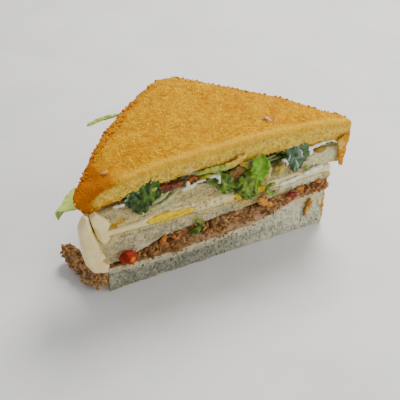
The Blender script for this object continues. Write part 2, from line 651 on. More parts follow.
def bake_slice(name, node, inset, voxel, hole, hole_depth, top=False):
    """A slice of bread: crumb with holes at the cut, crust on the legs and, on top of the sandwich, a fried face."""
    obj, points, normals = skinned(name, node, voxel, relax=14 if top else 3)
    low, high = edges_at_cut(node)
    over = high(points[:, 0]) - points[:, 2]
    behind = points[:, 1] - CUT_Y
    cut = steps(-normals[:, 1], 0.35, 0.75) * steps(behind, 5.0, 3.0)
    flat = steps(np.abs(normals[:, 2]), 0.45, 0.8)
    wall = np.clip(1 - cut - flat, 0, 1) * steps(behind, 0.6, 1.8)
    seed = inset

    # broad unevenness, holes and fine roughness
    shift = 0.3 * waves(points, 9.0, seed) + 0.16 * waves(points, 3.0, seed + 1)
    near = cells(points * np.array((1.0, 1.0, 0.8)), hole, seed)
    present = steps(waves(points, 6.0, seed + 2), -0.25, 0.25)
    pits = steps(near, 0.5, 0.15) * present
    fine = cells(points, hole * 0.55, seed + 3)
    pits = pits + 0.35 * steps(fine, 0.5, 0.2)
    shift -= cut * hole_depth * pits
    shift += cut * 0.22 * waves(points, 1.4, seed + 4)
    shift += wall * (0.25 * waves(points, 1.6, seed + 5) + 0.2 * waves(points, 4.0, seed + 6))
    moved = points + normals * shift[:, None]
    under = points[:, 2] - low(points[:, 0])
    border = np.maximum(steps(over, 2.0, 0.4) * (not top), steps(under, 2.0, 0.4) * (node != "bread_bottom"))
    moved[:, 2] += border * steps(behind, 4.0, 1.5) * (0.45 * waves(points, 3.0, seed + 7)
                                                       + 0.15 * waves(points, 2.2, seed + 8))

    if top:
        grain = 0.16 * waves(points, 1.3, 11) + 0.2 * waves(points, 2.6, 12) + 0.25 * waves(points, 7.0, 13)
        upper = steps(normals[:, 2], 0.2, 0.6)
        moved += normals * (upper * grain)[:, None]
        # the cut's upper edge is rounded off, and the lower edge is torn
        radius = 3.0
        deep, down = radius - np.clip(behind, 0, radius), radius - np.clip(over, 0, radius)
        away = np.hypot(deep, down)
        corner = (deep > 0) & (down > 0) & (away > radius)
        pull = np.where(corner, 1 - radius / np.maximum(away, 1e-6), 0)
        moved[:, 1] += deep * pull
        moved[:, 2] -= down * pull
        torn = steps(under, 2.2, 0.0) * steps(behind, 5.0, 2.0)
        moved[:, 2] += torn * (0.1 + 0.7 * waves(points, 1.6, 14) + 0.6 * waves(points, 5.0, 15))
        x = points[:, 0]
        lifted = 1.0 * steps(x, -19, -12) * steps(x, 7, 1) + 0.8 * steps(x, 16, 19) * steps(x, 36, 30)
        drooping = 4.0 * steps(x, 58, 66)
        moved[:, 2] += steps(under, 7.0, 0.0) * steps(behind, 7.0, 2.0) * (lifted - drooping)
    lowest = 0.03    # a hair over the ground
    moved[:, 2] = np.maximum(moved[:, 2], lowest)
    put_places(obj, moved)

    rim = rim_distance(points, inset)
    if top:
        from_tip = tip_distance(points)
        brown = steps(rim, 9.0, 0.0) * 0.62 + steps(from_tip, 26, 6) * 1.4 + wall * 0.3
        write_value(obj, "rim", np.clip(brown, 0, 1.5) * steps(behind + steps(from_tip, 26, 12) * 5, 0.0, 5.0))
        write_value(obj, "band", steps(behind, 6.5, 1.0) * steps(over, 4.0, 1.0) * steps(from_tip, 12, 28))
        left_tip = steps(points[:, 0], -54, -66) * 0.9
        skin = np.clip(steps(over, 4.6, 0.4) + wall * steps(over, 14, 9) + left_tip, 0, 1)
        write_value(obj, "toast", skin)
    else:
        write_value(obj, "toast", wall * steps(rim, 9.0, 6.0))
    thin = np.maximum(steps(over, 1.7, 0.3), 0.75 * steps(under, 1.2, 0.2))
    write_value(obj, "line", thin * np.maximum(cut, flat))
    write_value(obj, "cap", steps(over, 6.0, 1.0) * cut)
    return obj


class SANDWICH_OT_bread(bpy.types.Operator):
    """Makes the four slices of bread and the crust torn off them"""
    bl_idname = "sandwich.bread"
    bl_label = "Bread"

    def execute(self, context):
        look = context.scene.sandwich
        bottom = bake_slice("slice_bottom", "bread_bottom", 4.8, look.skin, 2.2, 0.9)
        grey = crumb_material(
            "Bottom crumb", look.bottom_crumb, (0.40, 0.39, 0.29), (0.10, 0.10, 0.06), 1.7,
            (0.74, 0.60, 0.34), stretch=(1.0, 1.0, 0.45), depth=0.9, darker=(-2, 34, 0.52), cap=(0.68, 0.60, 0.38),
            smears=(((0.70, 0.68, 0.48), 46.0, 14.0, 13.0, 7.0, 0, 0.9, 0.55),
                    ((0.52, 0.27, 0.02), 60.6, 15.0, 2.1, 12.0, 0, 0.3, 0.95),
                    ((0.66, 0.54, 0.28), 52, 18.5, 9, 4.6, -4, 0.6, 0.75),
                    ((0.56, 0.50, 0.32), 11.5, 10.0, 1.0, 4.6, 10, 0.5, 0.6),
                    ((0.56, 0.48, 0.28), -46, 13.4, 9.0, 2.2, 0, 0.8, 0.75),
                    ((0.50, 0.46, 0.32), -56, 8.0, 3.4, 3.0, 0, 0.8, 0.5)))
        finish_piece(bottom, grey, ["bread_bottom"])

        lower = bake_slice("slice_lower", "bread_lower", 4.8, look.skin, 1.6, 0.6)
        speckled = crumb_material(
            "Lower crumb", look.middle_crumb, (0.30, 0.27, 0.16), (0.09, 0.08, 0.04), 1.2,
            (0.60, 0.48, 0.20),
            smears=(((0.76, 0.74, 0.52), 44.0, 35.0, 14.0, 4.0, 0, 0.9, 0.6),
                    ((0.60, 0.50, 0.27), -52, 24, 5.0, 5.0, 30, 0.9, 0.6),
                    ((0.66, 0.54, 0.22), -57, 31.5, 5.5, 2.2, 20, 0.8, 0.7),
                    ((0.62, 0.50, 0.33), -41, 24.5, 3.6, 4.4, 0, 0.9, 0.7),
                    ((0.60, 0.44, 0.28), -36, 21, 5.0, 1.8, 22, 0.6, 0.7),
                    ((0.58, 0.36, 0.05), 14, 30.9, 6.0, 2.4, -14, 0.8, 0.6),
                    ((0.62, 0.50, 0.18), -11, 30.6, 4.0, 1.0, 10, 0.6, 0.7),
                    ((0.50, 0.42, 0.06), -12.2, 30.2, 2.6, 1.4, -30, 0.5, 0.8),
                    ((0.62, 0.44, 0.10), 61.5, 31, 1.4, 3.0, 0, 0.5, 0.8)))
        finish_piece(lower, speckled, ["bread_lower"])

        upper = bake_slice("slice_upper", "bread_upper", 2.5, look.skin, 1.6, 0.55)
        pale = crumb_material(
            "Upper crumb", look.upper_crumb, (0.40, 0.33, 0.16), (0.15, 0.105, 0.035), 1.2,
            (0.66, 0.54, 0.26),
            smears=(((0.72, 0.72, 0.42), 56.0, 46.5, 11.0, 6.0, 0, 0.9, 0.6),
                    ((0.50, 0.27, 0.02), -54.2, 39.8, 4.6, 3.6, 0, 1.3, 0.85),
                    ((0.46, 0.23, 0.01), -50.2, 43.0, 3.4, 1.9, 0, 1.2, 0.85),
                    ((0.42, 0.17, 0.0), -56.0, 37.8, 2.0, 2.6, 10, 0.8, 0.9),
                    ((0.54, 0.36, 0.06), -50.4, 44.4, 2.2, 1.3, 0, 0.7, 0.7),
                    ((0.70, 0.58, 0.26), -44, 42, 7.0, 1.6, 12, 0.8, 0.6),
                    ((0.70, 0.60, 0.34), -24, 42.6, 9.0, 1.5, 6, 0.8, 0.7),
                    ((0.70, 0.52, 0.16), -8, 41.0, 8.0, 1.8, -4, 0.8, 0.7),
                    ((0.54, 0.24, 0.07), -17, 39.6, 5.0, 0.5, -14, 0.8, 0.65),
                    ((0.56, 0.30, 0.06), -18.2, 44.5, 1.5, 1.1, 0, 0.5, 0.6),
                    ((0.60, 0.46, 0.04), -16.5, 49.6, 2.0, 1.1, 0, 0.5, 0.8),
                    ((0.52, 0.28, 0.03), 4.5, 42.0, 2.6, 0.9, -10, 0.6, 0.7),
                    ((0.70, 0.52, 0.14), 12, 41.4, 7.0, 1.8, -12, 0.7, 0.7),
                    ((0.66, 0.46, 0.08), 24, 43.6, 3.4, 5.6, -10, 0.7, 0.65),
                    ((0.74, 0.64, 0.36), 44, 44.5, 12.0, 1.6, -4, 0.9, 0.6)))
        finish_piece(upper, pale, ["bread_upper"])

        top = bake_slice("slice_top", "bread_top", 0.0, look.skin, 1.4, 0.45, top=True)
        finish_piece(top, fried_material(look), ["bread_top"])
        self.torn_crust()
        return {"FINISHED"}

    def torn_crust(self):
        """The strip that hangs from the right end, the peeled edge over the salad and a brown drop on the foot."""
        strip, points, _ = skinned("crust_strip", "crust_flap", 0.3, relax=4)
        push(strip, 0.35 * waves(points, 1.5, 3) + 0.3 * waves(points, 0.8, 4) + 0.15)
        crust = moist_material("Hanging crust", (0.64, 0.31, 0.01), (0.48, 0.16, 0.0), 1.4, 0.7, depth=0.5,
                               shine=0.15,
                               smears=(((0.66, 0.44, 0.08), 63.5, 52.0, 2.6, 3.0, 0, 0.6, 0.8),))
        finish_piece(strip, crust, ["crust_flap"])
        peeled = ribbon("peeled_edge", [(1.0, -33.8, 59.6), (4.0, -34.3, 59.0), (7.6, -34.4, 59.8),
                                        (12.2, -33.5, 61.2)], (0.8, 2.6, 3.6, 2.6), 3,
                        thickness=0.9, hollow=0.3, ragged=0.7)
        torn = moist_material("Peeled crumb", (0.74, 0.52, 0.09), (0.56, 0.32, 0.03), 1.6, 0.8, depth=0.4,
                              shine=0.1,
                              smears=(((0.56, 0.20, 0.0), 9.0, 59.2, 2.0, 1.2, 20, 0.8, 0.8),
                                      ((0.56, 0.20, 0.0), 3.6, 57.4, 1.4, 0.7, 0, 0.8, 0.7)))
        finish_piece(peeled, torn)
        drop = blob("brown_drop", [(50.9, -32.7, 19.8, 0.9, 0.8, 1.5), (50.5, -32.7, 17.4, 1.9, 1.1, 2.0),
                                   (49.9, -32.7, 14.8, 1.9, 1.1, 2.1), (49.0, -32.6, 12.2, 1.2, 0.9, 1.7),
                                   (48.3, -32.6, 10.6, 0.5, 0.7, 1.1)], size=0.3)
        amber = moist_material("Brown drop", (0.40, 0.16, 0.004), (0.22, 0.07, 0.002), 1.6, 0.3,
                               shine=0.3,
                               smears=(((0.62, 0.38, 0.03), 49.8, 13.4, 1.2, 3.4, 12, 0.6, 0.8),))
        finish_piece(drop, amber)


def flake_places(tree, count, seed, x_range, z_of, spread, flat, lift):
    """Matrices of flakes that lie on the front of a piece, turned at random and pressed a little into it."""
    rng = random.Random(seed)
    found = []
    for _ in range(count):
        x = rng.uniform(*x_range)
        z = rng.uniform(*z_of(x))
        y = hit_front(tree, x, z)
        size = rng.uniform(*spread)
        turn = tumbled(rng)
        if y is not None:
            found.append(placed((x, y - lift * size, z), turn, scaled(size, flat)))
    return found


def on_walls(obj, count, seed, spread, flat, lift=0.2):
    """Matrices of flakes on the steep outer sides of a piece, away from the cut."""
    rng = random.Random(seed)
    points, normals = places_of(obj)
    steep = np.nonzero((np.abs(normals[:, 2]) < 0.5) & (normals[:, 1] > -0.5) & (points[:, 1] > CUT_Y + 2))[0]
    found = []
    for index in rng.sample(list(steep), min(count, len(steep))):
        size = rng.uniform(*spread)
        turn = tumbled(rng)
        found.append(placed(points[index] + normals[index] * lift * size, turn, scaled(size, flat)))
    return found


class SANDWICH_OT_tuna(bpy.types.Operator):
    """Makes the tuna spread, its flakes and the clump pressed out at the left tip"""
    bl_idname = "sandwich.tuna"
    bl_label = "Tuna"

    def execute(self, context):
        look = context.scene.sandwich
        spread, points, normals = skinned("tuna_spread", "tuna", look.skin)
        low, high = edges_at_cut("tuna")
        side = steepness(normals)
        share = (points[:, 2] - low(points[:, 0])) / (high(points[:, 0]) - low(points[:, 0]))
        at_front = steps(points[:, 1], CUT_Y + 6, CUT_Y + 3)
        spread_thin = steps(share, 0.52, 0.26) * steps(points[:, 0], -22, -6) * at_front
        near = cells(points * np.array((0.55, 1.0, 1.1)), 3.6, 1)
        shift = 1.2 * (0.45 - near) + 0.8 * waves(points, 4.5, 2) + 0.4 * waves(points, 1.7, 3)
        gaps = waves(points * np.array((0.55, 1, 1.2)), 6.0, 4) + 0.22 * steps(share, 0.55, 0.95)
        dark_gaps = steps(gaps, 0.12, 0.40) * (1 - spread_thin)
        push(spread, side * (shift * (1 - 0.7 * spread_thin) - 2.0 * dark_gaps))
        write_value(spread, "vein", dark_gaps)
        write_value(spread, "band", spread_thin)
        brown = self.fish(look)
        finish_piece(spread, brown, ["tuna"])

        tree = tree_of(spread)
        flake = pebble(0.5, 3.0)
        tan = moist_material("Tan flakes", (0.46, 0.25, 0.08), (0.30, 0.13, 0.03), 2.0, 0.45, depth=0.3,
                             shine=0.25)
        rows = flake_places(tree, 60, 25, (-44, 40), lambda x: (mix(low(x), high(x), 0.35), high(x) - 0.6), (0.8, 1.7),
                            (1.5, 0.5, 0.7), 0.2)
        finish_piece(joined("tan_flakes", flake, rows), tan)
        rows = flake_places(tree, 110, 5, (-46, 62), lambda x: (mix(low(x), high(x), 0.28), high(x) - 0.4), (0.8, 1.9),
                            (1.5, 0.5, 0.7), 0.1)
        rows += flake_places(tree, 240, 7, (-50, 62), lambda x: (low(x) + 0.5, high(x) - 0.4), (0.35, 0.9),
                             (1.5, 0.6, 0.7), 0.2)
        rows += on_walls(spread, 420, 6, (0.6, 1.5), (1.5, 0.55, 0.6))
        finish_piece(joined("tuna_flakes", flake, rows), brown)
        fibre = narrow_strip()
        rows = flake_places(tree, 120, 15, (-46, 62), lambda x: (mix(low(x), high(x), 0.3), high(x) - 0.3), (1.0, 2.6),
                            (1.0, 0.13, 0.11), 0.1)
        pale = moist_material("Tuna fibres", (0.48, 0.26, 0.08), (0.30, 0.13, 0.03), 1.5, 0.45, depth=0.2,
                              shine=0.25)
        finish_piece(joined("tuna_fibres", fibre, rows), pale)

        pink = moist_material("Pink flakes", (0.54, 0.22, 0.07), (0.36, 0.09, 0.02), 1.8, 0.4, depth=0.3,
                              shine=0.3)
        rows = flake_places(tree, 18, 8, (-31, -21), lambda x: (high(x) - 4.5, high(x) - 0.6), (0.9, 1.7),
                            (1.3, 0.6, 0.8), 0.35)
        rows += flake_places(tree, 30, 9, (36, 61), lambda x: (low(x) + 1.6, high(x) - 0.4), (0.8, 1.5),
                             (1.3, 0.6, 0.8), 0.3)
        finish_piece(joined("salmon_bits", pebble(0.5, 5.0), rows), pink)
        red = moist_material("Red bits", (0.24, 0.012, 0.0), (0.14, 0.006, 0.0), 1.5, 0.3, depth=0.2,
                             shine=0.3)
        finish_piece(blob("red_bit", [(38.2, -33.6, 28.6, 2.0, 1.2, 1.4), (40.4, -33.6, 27.6, 1.6, 1.2, 1.6)],
                          size=0.25), red)
        orange = moist_material("Orange bits", (0.56, 0.19, 0.01), (0.40, 0.09, 0.0), 1.5, 0.3, depth=0.2,
                                shine=0.3)
        finish_piece(blob("orange_bits", [(43.0, -33.2, 30.2, 1.5, 1.0, 1.0), (45.0, -33.3, 30.6, 1.0, 0.9, 1.0),
                                          (-30.0, -33.3, 24.6, 1.2, 1.0, 1.8), (-29.0, -33.3, 26.4, 1.0, 0.9, 1.0),
                                          (54.6, -33.1, 31.2, 1.6, 1.0, 1.1)], size=0.25), orange)
        self.clump(brown, flake, fibre, pale)
        return {"FINISHED"}

    def clump(self, brown, flake, fibre, pale):
        """The tuna that was pressed out past the egg and lies on the ground at the left tip."""
        clump, points, _ = skinned("tuna_spill", "tuna_clump", 0.4, relax=1)
        near = cells(points, 2.6, 7)
        free = steps(points[:, 2], 0.2, 1.5)
        push(clump, free * (1.3 * (0.40 - near) + 0.7 * waves(points, 2.6, 8) + 0.3 * waves(points, 1.1, 9)))
        points, normals = places_of(clump)
        lowest = 0.05    # a hair over the ground
        points[:, 2] = np.maximum(points[:, 2], lowest)
        put_places(clump, points)
        write_value(clump, "vein", 0.4 * steps(waves(points, 3.0, 10), 0.10, 0.36))
        write_value(clump, "band", 0.9 * steps(points[:, 2], 3.0, 9.0))
        finish_piece(clump, brown, ["tuna_clump"])
        rng = random.Random(12)
        for name, shape, count, sizes, flat, finish in (
                ("spill_flakes", flake, 110, (0.7, 1.9), (1.3, 0.6, 0.7), brown),
                ("spill_tan_flakes", flake, 120, (0.7, 1.7), (1.3, 0.6, 0.7), pale),
                ("spill_fibres", fibre, 30, (0.9, 1.8), (1.0, 0.18, 0.14), pale)):
            rows = []
            for index in rng.sample(range(len(points)), count):
                if points[index, 2] < 1.6:
                    continue
                size = rng.uniform(*sizes)
                turn = (Matrix.Rotation(rng.uniform(0, math.tau), 4, "Z")
                        @ Matrix.Rotation(rng.uniform(-0.7, 0.7), 4, "Y"))
                rows.append(placed(points[index] + normals[index] * 0.2, turn, scaled(size, flat)))
            finish_piece(joined(name, shape, rows), finish)

    def fish(self, look):
        """Brown flaked fish: mottled, dark in its gaps, paler where it is spread thin on the bread."""
        material, s, shader = new_material("Tuna", specular_ior_level=0.25)
        along = s.place(scale=(0.42, 0.8, 1.0), turn=(0, 0.12, 0))
        colour = s.blend(s.between(s.noise(3.4, 4.0, 0.6, along), 0.42, 0.60), look.tuna, (0.17, 0.07, 0.018))
        colour = s.speckle(colour, (0.50, 0.29, 0.11), (1.8, 3.0, 0.6, along), 0.52, 0.66, 0.7)
        colour = s.speckle(colour, (0.11, 0.038, 0.008), (1.5, 3.0, 0.6, along), 0.42, 0.30, 0.6)
        colour = smeared(s, colour, (((0.56, 0.40, 0.20), -72, 12.5, 5.5, 4.0, 0, 0.8, 0.75),
                                     ((0.54, 0.38, 0.18), -63, 4.5, 6.0, 4.5, 0, 0.8, 0.6),
                                     ((0.16, 0.050, 0.008), -31, 21.5, 15.0, 8.0, 0, 0.9, 0.68)))
        thin = s.math("MULTIPLY", s.stored("band"), s.between(s.noise(3.0, 3.0), 0.36, 0.56, 0.45, 1.0))
        colour = s.blend(thin, colour, (0.44, 0.26, 0.14))
        colour = s.blend(s.math("MULTIPLY", s.stored("vein"), 0.9), colour, (0.065, 0.018, 0.006))
        s.put(shader.inputs["Base Color"], colour)
        fibres = s.noise(0.9, 4.0, 0.6, spot=s.place(scale=(0.35, 1.0, 1.0), turn=(0, 0.35, 0)))
        s.put(shader.inputs["Normal"], s.bump(fibres, 0.6, 0.9))
        s.put(shader.inputs["Roughness"], s.between(s.noise(2.0), 0.4, 0.65, 0.65, 0.36))
        return material


def narrow_strip():
    """A narrow strip, one unit from its middle to each end, with rounded edges and tapered ends."""
    bpy.ops.mesh.primitive_cylinder_add(vertices=6, radius=1, depth=2, rotation=(0, math.pi / 2, 0))
    bpy.ops.object.transform_apply(rotation=True)
    bpy.ops.object.mode_set(mode="EDIT")
    for place in (-0.5, 0.0, 0.5):
        bpy.ops.mesh.select_all(action="SELECT")
        bpy.ops.mesh.bisect(plane_co=(place, 0, 0), plane_no=(1, 0, 0))
    bpy.ops.object.mode_set(mode="OBJECT")
    obj = bpy.context.object
    for vert in obj.data.vertices:
        end = 1 - 0.6 * abs(vert.co.x) ** 3
        vert.co.y *= end
        vert.co.z = vert.co.z * end + 0.9 * math.sin(vert.co.x * 2.1)
    return shape_of(obj)


class SANDWICH_OT_egg(bpy.types.Operator):
    """Makes the sliced egg and the two pieces that slid out at the left tip"""
    bl_idname = "sandwich.egg"
    bl_label = "Egg"

    def execute(self, context):
        look = context.scene.sandwich
        white, points, normals = skinned("egg_layer", "egg_white", look.skin, relax=3)
        push(white, steepness(normals) * (0.35 * waves(points, 5.0, 1) + 0.15 * waves(points, 2.0, 2)))
        smooth_white = moist_material(
            "Egg white", look.egg_white, (0.66, 0.58, 0.32), 6.0, 0.32, grain=3.0, depth=0.25,
            **glow(0.25, 1.5, 1.3, 0.9),
            smears=(((0.70, 0.60, 0.22), -42, 39.5, 8.0, 1.2, 8, 0.7, 0.6),
                    ((0.78, 0.62, 0.20), -54, 33.0, 7.0, 1.0, 12, 0.7, 0.6),
                    ((0.76, 0.58, 0.16), 12, 35.2, 9.0, 3.0, -10, 0.8, 0.85),
                    ((0.64, 0.52, 0.24), -10, 38.0, 4.6, 3.4, 0, 1.0, 0.8),
                    ((0.70, 0.52, 0.14), -2, 40.4, 5.6, 1.0, 0, 0.9, 0.8),
                    ((0.72, 0.42, 0.06), 26, 33.5, 3.4, 4.0, -20, 0.8, 0.75)))
        finish_piece(white, smooth_white, ["egg_white"])

        yolk_look = moist_material("Egg yolk", look.yolk, (0.74, 0.48, 0.0), 1.8, 0.65, grain=0.6, depth=0.5,
                                   shine=0.2,
                                   smears=(((0.36, 0.20, 0.02), -24, 36.4, 8.5, 0.35, 7, 0.25, 0.8),))
        for name, node, seed in (("yolk_left", "egg_yolk_left", 1), ("yolk_right", "egg_yolk_right", 2)):
            yolk, points, _ = skinned(name, node, 0.4)
            push(yolk, 0.25 * waves(points, 1.2, seed) + 0.2 * waves(points, 3.0, seed + 1))
            finish_piece(yolk, yolk_look, [node])

        tree = tree_of(white)
        low, high = edges_at_cut("egg_white")
        for name, count, seed, colours, span in (
                ("egg_bits", 40, 41, ((0.76, 0.64, 0.34), (0.60, 0.49, 0.23)), (-20, 34)),
                ("yolk_bits", 18, 42, ((0.74, 0.56, 0.14), (0.66, 0.46, 0.07)), (-14, 26))):
            rows = flake_places(tree, count, seed, span, lambda x: (low(x) - 0.2, high(x) + 0.2), (0.4, 1.0),
                                (1.2, 0.6, 0.9), 0.1)
            crumbled = moist_material(name.replace("_", " ").capitalize(), *colours, 1.8, 0.5, depth=0.3,
                                      shine=0.2)
            finish_piece(joined(name, pebble(0.8, seed, 7, 5), rows), crumbled)

        tip_white = moist_material(
            "Egg at the tip", look.egg_white, (0.78, 0.62, 0.28), 9.0, 0.26, grain=4.0, depth=0.2,
            **glow(0.25, 1.5, 1.3, 0.9),
            smears=(((0.62, 0.50, 0.12), -62.5, 44.0, 1.8, 6.0, 14, 0.5, 0.85),
                    ((0.45, 0.22, 0.02), -59.8, 26.5, 0.9, 2.6, 25, 0.4, 0.85),
                    ((0.66, 0.50, 0.14), -61.0, 33.5, 1.0, 4.0, 15, 0.4, 0.8),
                    ((0.80, 0.62, 0.30), -66.5, 52.0, 3.0, 3.0, 0, 0.5, 0.6)))
        for name, node in (("egg_slice", "egg_slice_tip"), ("egg_wedge", "egg_wedge_tip")):
            piece, points, _ = skinned(name, node, 0.4, relax=6)
            push(piece, 0.25 * waves(points, 6.0, 5) + 0.35)
            finish_piece(piece, tip_white, [node])
        return {"FINISHED"}


def leaf_sheet(name, outline, front, root, seed, crumple=1.3, veins=(), away=0.0):
    """A crumpled leaf in front of the cut: its outline is x and z, and its top is tucked in under the slice above."""
    grid, jagged, thickness = 0.55, 1.1, 0.35
    xs = [x for x, _ in outline]
    zs = [z for _, z in outline]
    columns = int((max(xs) - min(xs) + 4) / grid)
    rows = int((max(zs) - min(zs) + 4) / grid)
    shift = Vector((seed * 3.7, seed * 1.9, seed * 5.3))
    noise.seed_set(SWAY_SEED)    # noise_vector takes its seed from the clock otherwise

    def inside(x, z):
        rough = noise.noise(Vector((x, 0, z)) / 1.5 + shift) + 0.7 * noise.noise(Vector((x, 0, z)) / 3.2 + shift)
        return inside_by(outline, x, z) + jagged * rough

    def depth(x, z):
        p = Vector((x, 0, z))
        edge = max(0.0, min(1.0, inside_by(outline, x, z) / 4))
        fold = abs(noise.noise(p / 4.2 + shift)) * 2 - 0.6
        ruffle = noise.noise(p / 2.2 + shift) * (1.2 - 0.5 * edge)
        fine = noise.noise(p / 1.1 + shift) * 0.35
        tucked = smooth((z - root) / 3.5)
        return front - crumple * (fold + ruffle + fine) * (1 - tucked) + tucked * (2.2 + away)

    points, index, faces, vein = [], {}, [], []

    def corner(i, j):
        if (i, j) not in index:
            x = min(xs) - 2 + i * grid
            z = min(zs) - 2 + j * grid
            sway = noise.noise_vector(Vector((x, 3.0, z)) / 3.0 + shift) * 0.8
            index[i, j] = len(points)
            points.append(to_frame(x + sway.x, depth(x, z), z + sway.z))
            close = min((segment_gap((x, z), *line) for line in veins), default=9.0)
            vein.append(math.exp(-(close / 0.55) ** 2))
        return index[i, j]

    for j in range(rows):
        for i in range(columns):
            x, z = min(xs) - 2 + (i + 0.5) * grid, min(zs) - 2 + (j + 0.5) * grid
            if inside(x, z) > 0:
                faces.append((corner(i, j), corner(i + 1, j), corner(i + 1, j + 1), corner(i, j + 1)))
    return sheet(name, points, faces, vein, thickness, relax=2)


def segment_gap(point, a, b):
    """Distance from a point to the line between two others."""
    p, a, b = Vector(point), Vector(a), Vector(b)
    edge = b - a
    t = min(1.0, max(0.0, (p - a).dot(edge) / edge.length_squared))
    return (p - a - edge * t).length


class SANDWICH_OT_leaves(bpy.types.Operator):
    """Makes the lettuce and parsley leaves over the cut face and at the left side"""
    bl_idname = "sandwich.leaves"
    bl_label = "Leaves"

    def execute(self, context):
        look = context.scene.sandwich
        milky = (0.50, 0.55, 0.46)
        dark = leaf_material("Dark leaf", look.leaf_dark, (0.036, 0.10, 0.0), (0.10, 0.19, 0.004),
                             smears=((milky, -47.4, 56.0, 1.6, 1.4, 0, 1.4, 0.3),
                                     (milky, -41.0, 57.8, 1.2, 0.9, 0, 1.4, 0.3),
                                     ((0.10, 0.22, 0.0), -34.6, 55.4, 1.4, 3.0, 0, 1.0, 0.6),
                                     ((0.003, 0.012, 0.0), -41.5, 50.4, 2.0, 2.6, 0, 1.0, 0.7)))
        curly = leaf_material("Curly leaf", (0.014, 0.045, 0.0), (0.12, 0.22, 0.0), (0.32, 0.42, 0.05),
                              smears=(((0.50, 0.52, 0.34), -2.2, 53.4, 1.0, 2.6, 0, 0.6, 0.6),
                                      ((0.26, 0.42, 0.02), 17.6, 42.6, 1.2, 3.4, 0, 0.8, 0.6)))
        bright = leaf_material("Bright leaf", look.leaf_bright, (0.09, 0.24, 0.0), (0.30, 0.48, 0.03),
                               smears=(((0.05, 0.14, 0.0), 20.4, 55.6, 1.3, 3.0, 0, 0.8, 0.7),))
        chalk = (0.62, 0.66, 0.60)
        grey = leaf_material("Grey leaf", (0.016, 0.05, 0.012), (0.055, 0.12, 0.05), (0.26, 0.34, 0.22),
                             smears=((chalk, 41.6, 53.2, 0.5, 3.2, 20, 0.4, 0.65),
                                     (chalk, 39.6, 47.6, 0.4, 3.0, 17, 0.4, 0.5),
                                     (chalk, 34.6, 53.0, 0.5, 2.8, -9, 0.7, 0.5),
                                     ((0.10, 0.20, 0.02), 44.0, 52.4, 1.0, 3.0, 0, 0.8, 0.6)))
        pale = leaf_material("Pale lettuce", look.lettuce, (0.38, 0.52, 0.06), (0.70, 0.76, 0.34))

        left = leaf_sheet("leaf_dark", [(-48.0, 55.6), (-46.6, 52.4), (-45.0, 49.6), (-42.6, 46.6), (-40.3, 45.0),
                                        (-38.0, 46.3), (-36.0, 49.0), (-33.3, 51.2), (-30.5, 54.6), (-30.9, 60.0),
                                        (-36, 61), (-42, 60), (-46, 58.4)], -35.0, 55.2, 1.0,
                          veins=[((-38, 60), (-40.5, 46)), ((-39, 55), (-45, 50.5)), ((-38.8, 56), (-34, 51))])
        finish_piece(left, dark, ["leaf_left"])
        middle_left = leaf_sheet("leaf_curly_left", [(-11.5, 53.4), (-7.5, 53.4), (-5.0, 49.6), (-2.0, 46.0),
                                                     (0.4, 43.4), (3.2, 43.0), (7.1, 42.4), (6.6, 47.0), (4.2, 52.0),
                                                     (0.6, 56.0), (-3.0, 57.5), (-7, 57.0)], -35.2, 54.4, 2.0,
                                 crumple=1.7, veins=[((-2, 56), (1.5, 44)), ((-0.4, 51), (-5, 50)),
                                                     ((0.2, 49.6), (5.5, 45.4))])
        finish_piece(middle_left, curly, ["leaf_middle_left"])
        middle = leaf_sheet("leaf_curly", [(5.6, 46.8), (6.4, 43.0), (8.2, 39.4), (11.3, 36.9), (15, 35.6),
                                           (17.6, 37.0), (19.8, 41.4), (20.2, 46.5), (18.0, 50.4), (14.4, 52.4),
                                           (10.0, 50.8), (7.4, 49.4)], -35.8, 48.6, 3.0, crumple=1.8,
                            veins=[((14.6, 52), (14.2, 37)), ((14.4, 49), (7.6, 42.6)), ((14.4, 49), (10.8, 38.4)),
                                   ((14.5, 49), (17.4, 38.8)), ((14.5, 49), (19.4, 43.6)), ((14.2, 50), (7, 47))])
        finish_piece(middle, curly, ["leaf_middle"])
        lettuce = leaf_sheet("leaf_bright_green", [(13.0, 58.6), (12.4, 54.0), (13.0, 50.0), (15.6, 47.6),
                                                   (19.0, 47.4), (21.6, 50.0), (22.4, 54.4), (21.4, 58.8)],
                             -38.2, 56.6, 4.0, crumple=1.3, away=3.6,
                             veins=[((18, 58.6), (16.6, 49)), ((17.6, 55), (13.6, 53)), ((17.4, 54), (21, 52))])
        finish_piece(lettuce, bright, ["leaf_bright"])
        right = leaf_sheet("leaf_grey_green", [(33.2, 57.4), (33.8, 52.0), (35.4, 47.4), (37.6, 43.0), (39.2, 42.6),
                                               (41.4, 44.8), (43.8, 46.0), (45.4, 50.5), (45.8, 56.0), (44.0, 58.6),
                                               (37.4, 59.2)], -34.8, 54.8, 5.0, crumple=1.1,
                           veins=[((39.8, 58), (38.4, 43.5)), ((39.5, 53), (35, 49)), ((39.4, 52), (44, 49.5))])
        finish_piece(right, grey, ["leaf_right"])

        for name, node, seed, finish in (("lettuce_at_side", "lettuce_side", 6, pale),
                                         ("lettuce_tip", "lettuce_sprig", 7, pale),
                                         ("herb", "parsley_piece", 8, curly)):
            obj, points, _ = skinned(name, node, 0.3, relax=3)
            amount = 0.35 if node != "parsley_piece" else 0.5
            folds = waves(points, 3.0, seed)
            put_places(obj, points + np.c_[folds * amount, folds * amount, 0.4 * waves(points, 2.0, seed + 1)])
            write_value(obj, "vein", 0.5 * steps(np.abs(waves(points, 4.0, seed + 2)), 0.06, 0.0))
            finish_piece(obj, finish, [node])
        return {"FINISHED"}


